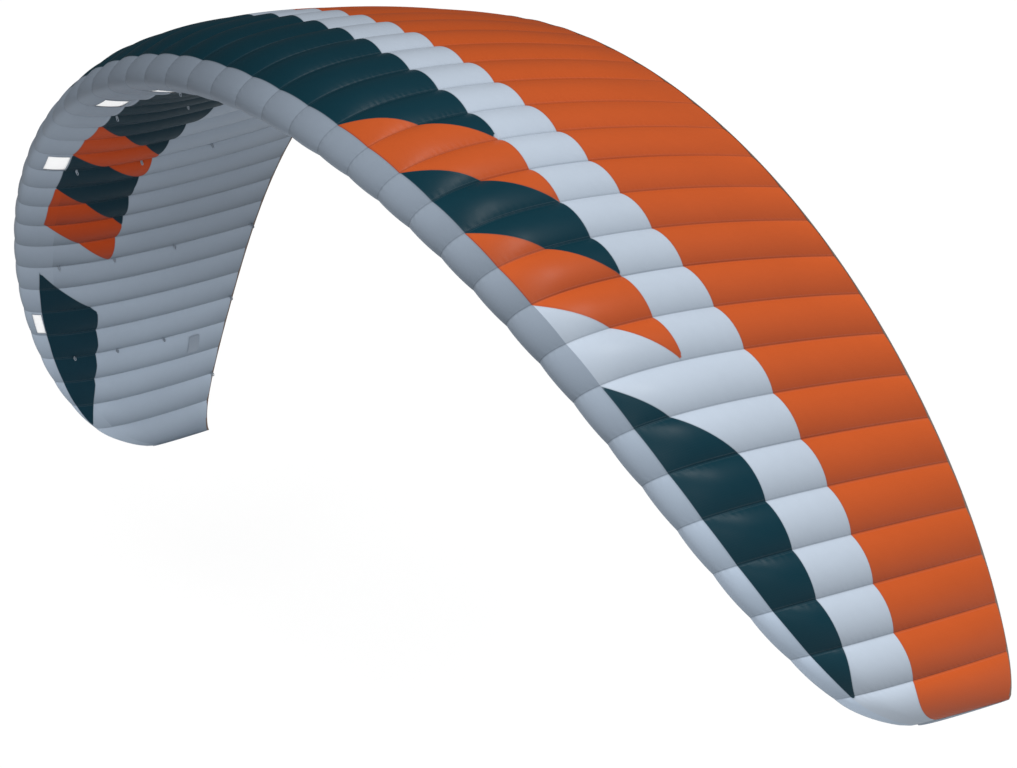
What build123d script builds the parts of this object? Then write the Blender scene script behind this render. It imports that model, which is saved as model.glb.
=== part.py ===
from build123d import *
from math import cos, degrees, radians, sin, sqrt
import os

# An arched ram-air kitesurf kite, inflated, in millimetres and degrees. X runs along the span, the nose
# faces -Y, the trailing edge +Y and Z is up. The wing is symmetric about X = 0. The origin is the
# middle of the front bridle row, on the lower skin of the centre cell.

# Driving dimensions
CELL = 126.5            # width of one cell along the arc
CELLS = 45
ARC_HALF_ANGLE = 75.5   # from the centre to each tip
ROOT_CHORD = 1234.0
UPPER_FULLNESS = 0.95   # height of the upper surface, in the thickness formula
LOWER_FULLNESS = 0.50   # depth of the lower surface, in the same formula
SKIN = 2.0              # skins are drawn thicker than their cloth, so that they are closed solids
RIB = 1.0
BATTEN = 2.5
TAPE = 1.5
SEAM_GAP = 0.6          # half of the gap between two sewn sections
TWIST_GAP = 1.5         # between a joint rib and the tip that twists on it
FLEX_GAP = 10.0         # between the centre wing and a joint rib, for its tilt
FRONT_ROW = 0.14        # places along the chord, as a share of it
MIDDLE_ROW = 0.36
REAR_ROW = 0.62
BRAKE_ROW = 0.985
NOSE_TOP = 0.048        # rear edge of the nose band on the upper side
NOSE_BOTTOM = 0.118     # and on the lower side
SKIN_END = 0.968        # where the skins go into the trailing-edge hem

# Sizes that follow
HALF = CELLS / 2
STEP_ANGLE = ARC_HALF_ANGLE / HALF
RADIUS = CELL / radians(STEP_ANGLE)
JOINT_STATION = 12.5    # the ribs where the wing bends and the tips twist
LAST_RIB = HALF - 1     # the tip cell outside this rib is rounded off
SECTIONS = {
    "left_outer": (-HALF, -17.5),
    "left_tip": (-17.5, -JOINT_STATION),
    "left_middle": (-JOINT_STATION, -7.5),
    "left_inner": (-7.5, -2.5),
    "centre": (-2.5, 2.5),
    "right_inner": (2.5, 7.5),
    "right_middle": (7.5, JOINT_STATION),
    "right_tip": (JOINT_STATION, 17.5),
    "right_outer": (17.5, HALF),
}
BODIES = {
    "left": (-HALF, -JOINT_STATION),
    "centre": (-JOINT_STATION, JOINT_STATION),
    "right": (JOINT_STATION, HALF),
}
# The cells with an intake mouth on each half, and the mouth's front and rear edges on the lower side of the nose.
INTAKE_MOUTHS = {1: (0.035, 0.100), 4: (0.035, 0.100), 9: (0.035, 0.100), 17: (0.020, 0.052)}
BRIDLE_RIBS = [1.5, 5.5, 9.5, 14.5, 18.5]     # ribs with bridle loops, on each half
BRAKE_RIBS = [14.5, 17.5, 20.5]               # ribs with brake loops, on each half
os.makedirs("parts", exist_ok=True)


def out(k):
    """How far out a station is: 0 at the centre, 1 at a tip."""
    return abs(k) / HALF


def rounding(k):
    """How far the tip cell's nose is rounded back, as a share of the chord."""
    past = max(0.0, abs(k) - LAST_RIB)
    return 0.27 * (1 - sqrt(max(0.0, 1 - past**2)))


def full_chord(k):
    return ROOT_CHORD * (1 - 0.299 * out(k) ** 2 - 0.307 * out(k) ** 6 - 0.059 * out(k) ** 16)


def chord(k):
    return full_chord(k) * (1 - rounding(k))


def set_back(k):
    """How far the nose is swept back behind the centre's."""
    sweep = ROOT_CHORD * (0.468 * out(k) ** 2 + 0.171 * out(k) ** 6 + 0.094 * out(k) ** 16)
    return sweep + full_chord(k) * rounding(k)


def pitch(k):
    """Angle of the chord, nose down below zero."""
    return -7.7 + 9.5 * out(k) ** 2 - 12.7 * out(k) ** 6


def fullness(k):
    """The tip cell closes like the end of a pillow."""
    past = max(0.0, abs(k) - (HALF - 1.5))
    return sqrt(1 - (past / 1.55) ** 2)


def cloth(k):
    """Thickness of a skin, which thins out into the rounded tip."""
    return SKIN * fullness(k) ** 2


def thickness(u):
    return 0.2969 * sqrt(u) - 0.126 * u - 0.3516 * u**2 + 0.2843 * u**3 - 0.1036 * u**4


def upper(k, u):
    return UPPER_FULLNESS * thickness(u) * chord(k) * fullness(k)


def lower(k, u):
    return -LOWER_FULLNESS * thickness(u) * chord(k) * fullness(k)


def radial_plane(k):
    """The section plane at a station: x along the chord, y out of the arch, z along the span."""
    turn = radians(k * STEP_ANGLE)
    tilt = radians(pitch(k))
    nose = Vector(RADIUS * sin(turn), set_back(k), RADIUS * (cos(turn) - 1))
    aft = Vector(-sin(turn) * sin(tilt), cos(tilt), -cos(turn) * sin(tilt))
    span = Vector(cos(turn), 0, -sin(turn))
    return Plane(origin=nose, x_dir=aft, z_dir=span)


CENTRE_PLANE = radial_plane(0)
ORIGIN = CENTRE_PLANE.from_local_coords(Vector(FRONT_ROW * chord(0), lower(0, FRONT_ROW), 0))


def station(k, along=0.0):
    """The section plane at a station, in the kite's own frame, moved along the span."""
    plane = radial_plane(k)
    return Plane(origin=plane.origin - ORIGIN, x_dir=plane.x_dir, z_dir=plane.z_dir).offset(along)


def shares(start, end, count):
    """Places along the chord, closer together towards the nose."""
    low = sqrt(start)
    high = sqrt(end)
    return [(low + (high - low) * i / count) ** 2 for i in range(count + 1)]


def section_stations(start, end):
    """The ribs from one end of a section to the other, with its seam gaps or joint gaps."""
    stations = []
    k = start
    while k < end + 0.01:
        stations.append(k)
        k += 1
    for i, inwards in ((0, 1), (-1, -1)):
        if abs(stations[i]) == JOINT_STATION:
            gap = FLEX_GAP if stations[i] * inwards < 0 else TWIST_GAP
        else:
            gap = SEAM_GAP
        if abs(stations[i]) < HALF:
            stations[i] += inwards * gap / CELL
    extra = [s * (HALF - d) for s in (-1, 1) for d in (0.5, 0.2)]
    return sorted(stations + [k for k in extra if start < k < end])


def strip(k, outer, inner):
    """A thin face in the section plane, between an outer line of points and an inner one."""
    with BuildSketch(station(k)) as section:
        with BuildLine():
            Spline(*outer)
            Line(outer[-1], inner[-1])
            Spline(*reversed(inner))
            Line(inner[0], outer[0])
        make_face()
    return section.sketch


def side_strip(k, start, end, side, count=8):
    """A skin's section between two places along the chord: side is upper or lower."""
    inwards = -cloth(k) if side is upper else cloth(k)
    outer = [(u * chord(k), side(k, u)) for u in shares(start, end, count)]
    return strip(k, outer, [(x, y + inwards) for x, y in outer])


def nose_point(k, s, inset):
    """A point round the nose: s is the root of the place along the chord, below zero underneath."""
    height = upper(k, s * s) if s > 0 else lower(k, s * s)
    slope = (UPPER_FULLNESS if s > 0 else LOWER_FULLNESS) * 0.2969 * fullness(k)
    length = sqrt(4 * s * s + slope * slope)
    away = -slope / length
    rise = 2 * s / length
    return (s * s * chord(k) - inset * away, height - inset * rise)


def nose_strip(k, top, bottom, inset=0.0, thick=None, count=10):
    """A section of the nose band, from the upper side round the nose to the lower side."""
    thick = thick or cloth(k)
    first = sqrt(top)
    last = -sqrt(bottom)
    steps = [first + (last - first) * i / count for i in range(count + 1)]
    outer = [nose_point(k, s, inset) for s in steps]
    inner = [nose_point(k, s, inset + thick) for s in steps]
    return strip(k, outer, inner)


def write(builder, label):
    """Labels a finished piece and writes it."""
    builder.part.label = label
    export_step(builder.part, f"parts/{label}.step")


def skin(label, start, end, side, front):
    """One sewn section of the upper or the lower skin."""
    with BuildPart() as panel:
        loft([side_strip(k, front, SKIN_END, side) for k in section_stations(start, end)], ruled=True)
    write(panel, label)


def nose_band(label, start, end):
    """The nose panels of a section. A cell with an intake has one panel above and one below its mouth."""
    mouths = [s * c for s in (-1, 1) for c in INTAKE_MOUTHS if start < s * c < end]
    ends = section_stations(start, end)
    with BuildPart() as band:
        run = [ends[0]]
        for k in ends[1:]:
            middle = round((k + run[-1]) / 2)
            if middle in mouths and abs(k - run[-1]) > 0.9:
                if len(run) > 1:
                    run[-1] -= SEAM_GAP / CELL
                    add(nose_panel(run, NOSE_BOTTOM))
                pair = [run[-1] + 2 * SEAM_GAP / CELL, k - SEAM_GAP / CELL]
                front, rear = INTAKE_MOUTHS[abs(middle)]
                add(nose_panel(pair, front))
                add(lower_lip(pair, rear))
                run = [k + SEAM_GAP / CELL]
            else:
                run.append(k)
        if len(run) > 1:
            add(nose_panel(run, NOSE_BOTTOM))
    write(band, label)


def nose_panel(stations, bottom):
    """A nose panel over the given stations, down to a place on the lower side."""
    with BuildPart() as panel:
        loft([nose_strip(k, NOSE_TOP, bottom) for k in stations], ruled=True)
    return panel.part


def lower_lip(stations, front):
    """The narrow panel behind an intake mouth."""
    with BuildPart() as lip:
        loft([side_strip(k, front, NOSE_BOTTOM, lower, count=3) for k in stations], ruled=True)
    return lip.part


def hem_section(k):
    """The wedge between the skins' rear edges and the trailing edge."""
    front = SKIN_END + 0.002
    with BuildSketch(station(k)) as section:
        with BuildLine():
            Polyline(
                (front * chord(k), upper(k, front)),
                (chord(k), upper(k, 1) + 0.4),
                (chord(k), lower(k, 1) - 0.4),
                (front * chord(k), lower(k, front)),
                close=True,
            )
        make_face()
    return section.sketch


def hem(label, start, end):
    """The trailing-edge hem, which joins the two skins."""
    with BuildPart() as edge:
        loft([hem_section(k) for k in section_stations(start, end)], ruled=True)
    write(edge, label)


def rib_face(k):
    """A cell rib with its cross ports, in the section plane."""
    clear = SKIN + 0.8
    places = shares(0.05, SKIN_END - 0.012, 12)
    top = [(u * chord(k), upper(k, u) - clear) for u in places]
    bottom = [(u * chord(k), lower(k, u) + clear) for u in places]
    with BuildSketch(station(k)) as section:
        with BuildLine():
            Spline(*top)
            Line(top[-1], bottom[-1])
            Spline(*reversed(bottom))
            Line(bottom[0], top[0])
        make_face()
        for u in (0.16, 0.32, 0.48, 0.64):
            room = upper(k, u) - lower(k, u)
            floor = lower(k, u) + 0.3 * room
            with Locations((u * chord(k), floor + 0.22 * room)):
                Rectangle(0.10 * chord(k), 0.44 * room, mode=Mode.SUBTRACT)
    return section.sketch


def ribs(label, stations):
    """A group of cell ribs."""
    with BuildPart() as group:
        for k in stations:
            extrude(rib_face(k), amount=RIB / 2, both=True)
    write(group, label)


def battens(label, stations):
    """The plastic nose battens, one sewn to the side of each rib."""
    with BuildPart() as group:
        for k in stations:
            section = nose_strip(k, 0.10, 0.025, inset=SKIN + 2.0, thick=BATTEN)
            inboard = station(k).z_dir * (-1 if k > 0 else 1)
            beside = section.moved(Location(inboard * (RIB / 2)))
            extrude(beside, amount=BATTEN, dir=inboard)
    write(group, label)


def tape_section(k, u):
    """An inner tape's section, on the floor of a cross port."""
    floor = lower(k, u) + 0.3 * (upper(k, u) - lower(k, u))
    with BuildSketch(station(k)) as section:
        with Locations((u * chord(k), floor + TAPE / 2 + 0.3)):
            Rectangle(20, TAPE)
    return section.sketch


def span_tapes(label, start, end):
    """Two inner tapes that run along the span on the floors of the cross ports."""
    stations = [k for k in section_stations(start, end) if abs(k) < LAST_RIB + 0.1]
    with BuildPart() as tapes:
        for u in (0.16, 0.64):
            loft([tape_section(k, u) for k in stations], ruled=True)
    write(tapes, label)


LOOP_WIDTH = 14.0
LOOP_DROP = 20.0
LOOP_THICK = 2.0
EYE_RADIUS = 4.0


def loop(k, u, eye):
    """A webbing loop under the lower skin, across the chord, with an open eye or pressed flat."""
    where = station(k)
    root = Vector(u * chord(k), lower(k, u) - 0.9, 0)
    place = Plane(
        origin=where.from_local_coords(root), x_dir=where.z_dir, z_dir=where.x_dir
    )
    with BuildPart() as tab:
        with BuildSketch(place):
            with Locations((0, LOOP_DROP / 2 - LOOP_WIDTH / 4)):
                Rectangle(LOOP_WIDTH, LOOP_DROP - LOOP_WIDTH / 2)
            with Locations((0, LOOP_DROP - LOOP_WIDTH / 2)):
                Circle(LOOP_WIDTH / 2)
                if eye:
                    Circle(EYE_RADIUS, mode=Mode.SUBTRACT)
        extrude(amount=LOOP_THICK / 2, both=True)
    return tab.part


def loops(label, start, end):
    """The bridle and brake loops of one body."""
    with BuildPart() as group:
        for rib in sorted(s * r for s in (-1, 1) for r in BRIDLE_RIBS):
            if start < rib < end:
                add(loop(rib, FRONT_ROW, True))
                add(loop(rib, MIDDLE_ROW, False))
                add(loop(rib, REAR_ROW, False))
        for rib in sorted(s * r for s in (-1, 1) for r in BRAKE_RIBS):
            if start < rib < end:
                add(loop(rib, BRAKE_ROW, True))
    write(group, label)


def tip_panel(label, k):
    """The cloth that closes a wing tip."""
    outwards = 1 if k > 0 else -1
    places = shares(0.004, 0.998, 10)
    top = [(u * chord(k), upper(k, u)) for u in places]
    bottom = [(u * chord(k), lower(k, u)) for u in places]
    with BuildPart() as panel:
        with BuildSketch(station(k, outwards * 0.6)):
            with BuildLine():
                Spline(*top)
                Line(top[-1], bottom[-1])
                Spline(*reversed(bottom))
                Line(bottom[0], top[0])
            make_face()
        extrude(amount=outwards * SKIN)
    write(panel, label)


FLAP_INSET = 6.0
FLAP_THICK = 1.2
FLAP_REACH = 0.4        # half of the flap's width, in cells


def flap_section(k, mouth):
    """An intake flap's section, from its hinge edge to its free edge."""
    front = Vector(mouth[0] * chord(k) - 2, lower(k, mouth[0]))
    rear = Vector((mouth[1] + 0.006) * chord(k), lower(k, mouth[1]))
    along = (rear - front).normalized()
    inwards = Vector(-along.Y, along.X)
    front += inwards * FLAP_INSET
    rear += inwards * FLAP_INSET
    with BuildSketch(station(k)) as section:
        with BuildLine():
            Polyline(front, rear, rear + inwards * FLAP_THICK, front + inwards * FLAP_THICK, close=True)
        make_face()
    return section.sketch


def intake_flap(label, k, mouth):
    """The cloth flap that closes an intake mouth from inside."""
    with BuildPart() as flap:
        loft([flap_section(k - FLAP_REACH, mouth), flap_section(k + FLAP_REACH, mouth)], ruled=True)
    write(flap, label)


ZIP_PLACE = 0.935
ZIP_LENGTH = 240.0
ZIP_WIDTH = 26.0
ZIP_REST = 100.0


def zip_plane(x=0.0, drop=0.0):
    """A plane on the deflation zip, under the lower skin: x along the zip, y to the rear."""
    skin_low = lower(0, ZIP_PLACE)
    middle = station(0).from_local_coords(Vector(ZIP_PLACE * chord(0), skin_low - drop, 0))
    rear = station(0).x_dir
    return Plane(origin=middle + Vector(x, 0, 0), x_dir=Vector(1, 0, 0), z_dir=Vector(1, 0, 0).cross(rear))


def zipper():
    """The deflation zip at the middle of the trailing edge: its tape, slider and pull tab."""
    with BuildPart() as tape:
        with BuildSketch(zip_plane(drop=8.5)):
            Rectangle(ZIP_LENGTH, ZIP_WIDTH)
        extrude(amount=1.4)
        with BuildSketch(zip_plane(drop=10.0)):
            Rectangle(ZIP_LENGTH - 16, 5)
        extrude(amount=1.6)
    write(tape, "zip_tape")
    with BuildPart() as slider:
        with BuildSketch(zip_plane(ZIP_REST, 14.4)):
            RectangleRounded(14, 10, 3)
        extrude(amount=4.0)
        with BuildSketch(zip_plane(ZIP_REST, 16.0)):
            Rectangle(5, 4)
        extrude(amount=2.0)
    write(slider, "zip_slider")
    with BuildPart() as pull:
        with BuildSketch(zip_plane(ZIP_REST, 43.0)):
            Rectangle(1.4, 7)
        extrude(amount=26.5)
    write(pull, "zip_pull")


DRAIN_CELL = 19
DRAIN_PLACE = 0.80


def drain_flap(label, side):
    """The hook-and-loop flap over the sand slit near a tip."""
    k = side * DRAIN_CELL
    slope = degrees(atan_slope(k))
    where = station(k)
    middle = where.from_local_coords(
        Vector(DRAIN_PLACE * chord(k), lower(k, DRAIN_PLACE) - 4.8, 0)
    )
    flat = Plane(origin=middle, x_dir=where.z_dir, z_dir=where.y_dir).rotated((slope, 0, 0))
    with BuildPart() as flap:
        with BuildSketch(flat):
            RectangleRounded(84, 56, 8)
        extrude(amount=-1.2)
    write(flap, label)


def atan_slope(k):
    """Slope of the lower skin under the drain flap, in radians."""
    ahead = lower(k, DRAIN_PLACE + 0.05)
    behind = lower(k, DRAIN_PLACE - 0.05)
    return (ahead - behind) / (0.1 * chord(k))


for name, (start, end) in SECTIONS.items():
    skin(f"upper_skin_{name}", start, end, upper, NOSE_TOP + 0.002)
    skin(f"lower_skin_{name}", start, end, lower, NOSE_BOTTOM + 0.002)
    nose_band(f"nose_band_{name}", start, end)

for name, (start, end) in BODIES.items():
    inner_ribs = [k - HALF for k in range(1, CELLS) if start + 0.1 < k - HALF < end - 0.1]
    ribs(f"ribs_{name}", inner_ribs)
    battens(f"nose_battens_{name}", inner_ribs)
    span_tapes(f"span_tapes_{name}", start, end)
    hem(f"trailing_hem_{name}", start, end)
    loops(f"bridle_loops_{name}", start, end)

for name, side in (("left", -1), ("right", 1)):
    ribs(f"joint_rib_{name}", [side * JOINT_STATION])
    tip_panel(f"tip_panel_{name}", side * HALF)
    drain_flap(f"drain_flap_{name}", side)
    for number, (cell, mouth) in enumerate(INTAKE_MOUTHS.items(), 1):
        intake_flap(f"intake_flap_{name}_{number}", side * cell, mouth)

zipper()
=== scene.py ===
"""Looks of the inflated kite: sewn skins, nose bands, ribs, hems, flaps and fittings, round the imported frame."""

import logging
import math
from collections.abc import Callable, Sequence
from dataclasses import dataclass, field, replace
from enum import Enum

import bpy
import numpy as np
from mathutils import Matrix, Vector


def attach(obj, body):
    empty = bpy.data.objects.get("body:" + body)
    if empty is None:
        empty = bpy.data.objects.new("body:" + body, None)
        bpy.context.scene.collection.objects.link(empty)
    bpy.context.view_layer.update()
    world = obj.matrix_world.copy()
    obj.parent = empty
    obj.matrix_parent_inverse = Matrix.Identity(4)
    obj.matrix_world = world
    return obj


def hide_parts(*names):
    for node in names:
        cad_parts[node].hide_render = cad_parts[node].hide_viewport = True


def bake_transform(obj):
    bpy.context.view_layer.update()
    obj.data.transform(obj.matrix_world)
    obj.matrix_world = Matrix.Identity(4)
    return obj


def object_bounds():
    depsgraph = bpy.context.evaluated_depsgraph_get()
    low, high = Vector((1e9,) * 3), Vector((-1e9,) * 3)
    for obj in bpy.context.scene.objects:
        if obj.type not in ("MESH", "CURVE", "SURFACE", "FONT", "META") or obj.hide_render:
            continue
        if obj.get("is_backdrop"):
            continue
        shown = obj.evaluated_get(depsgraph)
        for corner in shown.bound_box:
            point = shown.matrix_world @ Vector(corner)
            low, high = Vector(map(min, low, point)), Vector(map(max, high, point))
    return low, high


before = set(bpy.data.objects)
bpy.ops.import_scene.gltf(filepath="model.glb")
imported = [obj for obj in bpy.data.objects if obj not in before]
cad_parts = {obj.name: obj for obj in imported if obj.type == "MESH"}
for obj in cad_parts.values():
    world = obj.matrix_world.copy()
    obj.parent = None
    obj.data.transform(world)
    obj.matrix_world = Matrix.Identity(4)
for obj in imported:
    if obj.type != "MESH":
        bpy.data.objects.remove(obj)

log = logging.getLogger("kite")
Colour = tuple[float, float, float]
Socket = bpy.types.NodeSocket
Border = tuple[tuple[float, float], ...]
Follow = Callable[[bpy.types.Object], object]


class Side(Enum):
    """Which half of the wing a piece is on, as the sign of its stations."""

    LEFT = -1
    RIGHT = 1

    @property
    def word(self) -> str:
        """The side's name in piece and body names."""
        return self.name.lower()


class Skin(Enum):
    """The three panels that a cell's outside is sewn from."""

    UPPER = "upper_skin"
    NOSE = "nose_band"
    LOWER = "lower_skin"


@dataclass(frozen=True)
class WingForm:
    """The wing's outer form. Stations count cells from the middle, and places run round the profile.

    A place is the root of the share of the chord: above zero on the upper side and below zero underneath.
    """

    cell: float = 0.1265
    half_cells: float = 22.5
    arc_half_angle: float = math.radians(75.5)
    root_chord: float = 1.234
    upper_fullness: float = 0.95
    lower_fullness: float = 0.50
    origin_share: float = 0.14
    top_billow: float = 0.148
    under_billow: float = 0.140
    nose_billow: float = 0.030
    tail_billow: float = 0.022
    tail_fade: float = 4.5
    seed: int = 11
    unevenness: float = 0.07

    @property
    def step(self) -> float:
        """Angle of one cell round the arch."""
        return self.arc_half_angle / self.half_cells

    def out(self, k: np.ndarray) -> np.ndarray:
        """How far out a station is: 0 in the middle, 1 at a tip."""
        return np.abs(k) / self.half_cells

    def rounding(self, k: np.ndarray) -> np.ndarray:
        """How far a tip cell's nose is rounded back, as a share of the chord."""
        past = np.clip(np.abs(k) - (self.half_cells - 1), 0, 1)
        return 0.27 * (1 - np.sqrt(1 - past**2))

    def full_chord(self, k: np.ndarray) -> np.ndarray:
        """Chord before the tip's rounding, in metres."""
        o = self.out(k)
        return self.root_chord * (1 - 0.299 * o**2 - 0.307 * o**6 - 0.059 * o**16)

    def chord(self, k: np.ndarray) -> np.ndarray:
        """Chord, in metres."""
        return self.full_chord(k) * (1 - self.rounding(k))

    def set_back(self, k: np.ndarray) -> np.ndarray:
        """How far the nose is swept back behind the middle's."""
        o = self.out(k)
        sweep = self.root_chord * (0.468 * o**2 + 0.171 * o**6 + 0.094 * o**16)
        return sweep + self.full_chord(k) * self.rounding(k)

    def fullness(self, k: np.ndarray) -> np.ndarray:
        """How thick a section is against its neighbours: a tip closes like the end of a pillow."""
        past = np.clip(np.abs(k) - (self.half_cells - 1.5), 0, 1.5)
        return np.sqrt(1 - (past / 1.55) ** 2)

    def axes(self, k: np.ndarray) -> tuple[np.ndarray, np.ndarray, np.ndarray, np.ndarray]:
        """The section plane at each station: its nose point, and the aft, outward and span directions."""
        k = np.asarray(k, float)
        turn = k * self.step
        o = self.out(k)
        tilt = np.radians(-7.7 + 9.5 * o**2 - 12.7 * o**6)
        radius = self.cell / self.step
        nose = np.stack([radius * np.sin(turn), self.set_back(k), radius * (np.cos(turn) - 1)], -1)
        aft = np.stack([-np.sin(turn) * np.sin(tilt), np.cos(tilt), -np.cos(turn) * np.sin(tilt)], -1)
        span = np.stack([np.cos(turn), 0 * turn, -np.sin(turn)], -1)
        return nose, aft, np.cross(span, aft), span

    def profile(self, k: np.ndarray, s: np.ndarray) -> tuple[np.ndarray, np.ndarray, np.ndarray, np.ndarray]:
        """The rib outline.

        Args:
            k: Stations.
            s: Places round the profile.

        Returns:
            The distance aft, the height, and the two parts of the outward normal in the section plane.
        """
        a = np.abs(s)
        fat = np.where(s > 0, self.upper_fullness, self.lower_fullness) * self.chord(k) * self.fullness(k)
        form = 0.2969 * a - 0.126 * a**2 - 0.3516 * a**4 + 0.2843 * a**6 - 0.1036 * a**8
        slope = 0.2969 - 0.252 * a - 1.4064 * a**3 + 1.7058 * a**5 - 0.8288 * a**7
        tx, ty = 2 * s * self.chord(k), fat * slope
        length = np.hypot(tx, ty)
        return s**2 * self.chord(k), np.sign(s) * fat * form, -ty / length, tx / length

    def at(self, k: np.ndarray, x: np.ndarray, y: np.ndarray, z: np.ndarray | float = 0.0) -> np.ndarray:
        """Points in the row frame, from section-plane distances aft, outward and along the span."""
        nose, aft, outward, span = self.axes(k)
        x, y, z = (np.asarray(v, float)[..., None] for v in (x, y, z))
        return nose + aft * x + outward * y + span * z - self.origin

    @property
    def origin(self) -> np.ndarray:
        """The frame's origin, on the lower skin of the middle cell."""
        x, y, _, _ = self.profile(np.zeros(1), np.array([-math.sqrt(self.origin_share)]))
        nose, aft, outward, _ = self.axes(np.zeros(1))
        return (nose + aft * x + outward * y)[0]

    def billow(self, k: np.ndarray, s: np.ndarray) -> np.ndarray:
        """How far air pressure lifts the cloth off the straight line between two ribs, in metres."""
        across = np.mod(k + 0.5, 1.0)
        arch = (4 * across * (1 - across)) ** 0.88
        u = s**2
        rise = np.clip(u / np.where(s > 0, 0.16, 0.30), 0, 1)
        rise = rise * rise * (3 - 2 * rise)
        most = np.where(s > 0, self.top_billow, self.under_billow)
        fade = u**self.tail_fade
        share = (self.nose_billow + (most - self.nose_billow) * rise) * (1 - fade) + self.tail_billow * fade
        spare = math.ceil(self.half_cells) + 1
        number = np.clip(np.floor(k + 0.5).astype(int) + spare, 0, 2 * spare)
        least, greatest = 1 - self.unevenness, 1 + self.unevenness
        uneven = np.random.default_rng(self.seed).uniform(least, greatest, (2, 2 * spare + 1))
        even = np.where(s > 0, uneven[0][number], uneven[1][number])
        return self.cell * share * arch * even * self.fullness(k) ** 2

    def surface(self, k: np.ndarray, s: np.ndarray, lift: float = 0.0) -> np.ndarray:
        """Points of the inflated surface, lifted off it by a distance."""
        k, s = np.broadcast_arrays(np.asarray(k, float), np.asarray(s, float))
        x, y, nx, ny = self.profile(k, s)
        off = self.billow(k, s) + lift
        return self.at(k, x + nx * off, y + ny * off)


@dataclass(frozen=True)
class PanelPlan:
    """Where the dyed panels lie, counted in ribs from the tip and shares of the chord."""

    chord_in_cells: float = 9.75
    half_cells: float = 22.5
    nose_top: float = 0.0475
    band_front: Border = ((8, 0.272), (23, 0.344))
    band_rear: Border = (
        (0, 0.220), (1, 0.368), (2, 0.408), (3, 0.434), (4, 0.451), (5, 0.462), (7, 0.467), (23, 0.467),
    )
    top_splits: tuple[float, ...] = (16, 14, 12, 10)
    slant: float = 2
    top_wedge: Border = (
        (0.9, 0.04), (1, 0.064), (2, 0.171), (3, 0.196), (4, 0.223), (5, 0.237), (6, 0.248), (7, 0.14),
        (8, 0.046), (8.4, 0.0),
    )
    under_front: Border = (
        (0, -0.01), (1, 0), (3.1, 0.039), (4.6, 0.052), (6, 0.057), (8, 0.07), (10, 0.08), (12, 0.095),
        (14, 0.105), (16, 0.125), (23, 0.128),
    )
    under_rear: Border = (
        (8, 0.34), (9.4, 0.36), (10, 0.37), (11.6, 0.37), (12.2, 0.39), (13.4, 0.405), (14, 0.428),
        (15, 0.447), (16, 0.5), (23, 0.54),
    )
    under_splits: tuple[tuple[float, float, float, float], ...] = (
        (16.1, 0.125, 13.4, 0.405), (14, 0.105, 12, 0.39), (12, 0.095, 9.7, 0.365), (10.1, 0.08, 8, 0.34),
    )
    under_wedge: Border = (
        (1.1, 0), (1.5, 0.055), (2, 0.119), (2.8, 0.19), (3.6, 0.234), (4.4, 0.265), (5.3, 0.28),
        (5.8, 0.287), (7, 0.136), (7.8, 0.07), (8.2, 0.03),
    )

    def below(self, n: np.ndarray, u: np.ndarray, border: Border) -> np.ndarray:
        """Distance in cells that points lie in front of a border that runs across the ribs."""
        at, share = np.array(border, float).T
        step = 0.05
        slope = (np.interp(n + step, at, share) - np.interp(n - step, at, share)) / (2 * step)
        away = (np.interp(n, at, share) - u) * self.chord_in_cells
        return away / np.sqrt(1 + (slope * self.chord_in_cells) ** 2)

    def inboard(self, n: np.ndarray, u: np.ndarray, line: tuple[float, float, float, float]) -> np.ndarray:
        """Distance in cells that points lie on the middle's side of a slanting border."""
        n0, u0, n1, u1 = line
        along = np.array([n1 - n0, (u1 - u0) * self.chord_in_cells])
        along = along / np.linalg.norm(along)
        return (n - n0) * along[1] - (u - u0) * self.chord_in_cells * along[0]

    @staticmethod
    def stripes(cuts: Sequence[np.ndarray], within: np.ndarray) -> tuple[np.ndarray, np.ndarray]:
        """Distances inside the dark and the orange stripes that four slanting borders cut a zone into."""
        dark = np.maximum(np.minimum(cuts[0], within), np.minimum.reduce([-cuts[1], cuts[2], within]))
        orange = [np.minimum.reduce([-cuts[i], cuts[i + 1], within]) for i in (0, 2)]
        return dark, np.maximum(*orange)

    def fields(self, k: np.ndarray, s: np.ndarray) -> tuple[np.ndarray, np.ndarray]:
        """Distances inside the dark and the orange panels, in cells, below zero outside them."""
        n, u = self.half_cells - np.abs(k), s**2
        front = self.below(n, u, self.band_front)
        ends = [float(np.interp(a - self.slant, *np.array(self.band_front).T)) for a in self.top_splits]
        lines = [(a, 0.046, a - self.slant, end) for a, end in zip(self.top_splits, ends, strict=True)]
        top_dark, top_orange = self.stripes([self.inboard(n, u, line) for line in lines], front)
        top_dark = np.maximum(top_dark, self.below(n, u, self.top_wedge))
        top_orange = np.maximum(top_orange, -self.below(n, u, self.band_rear))
        ahead = -self.below(n, u, self.under_front)
        rear = np.minimum(self.below(n, u, self.under_rear), ahead)
        under_dark, under_orange = self.stripes([self.inboard(n, u, x) for x in self.under_splits], rear)
        under_dark = np.maximum(under_dark, np.minimum(self.below(n, u, self.under_wedge), ahead))
        top = s > 0
        band = (u - self.nose_top) * self.chord_in_cells
        return (
            np.where(top, np.minimum(top_dark, band), under_dark),
            np.where(top, np.minimum(top_orange, band), under_orange),
        )


FORM = WingForm()
PLAN = PanelPlan()
MOUTH_HALF = 0.40
INNER_MOUTH, TIP_MOUTH = (0.035, 0.100), (0.020, 0.052)
MOUTHS: dict[int, tuple[float, float]] = {1: INNER_MOUTH, 4: INNER_MOUTH, 9: INNER_MOUTH, 17: TIP_MOUTH}
CENTRE_END, JOINT_RIB, TIP_START = 9.5, 12.5, 16.5


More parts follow.
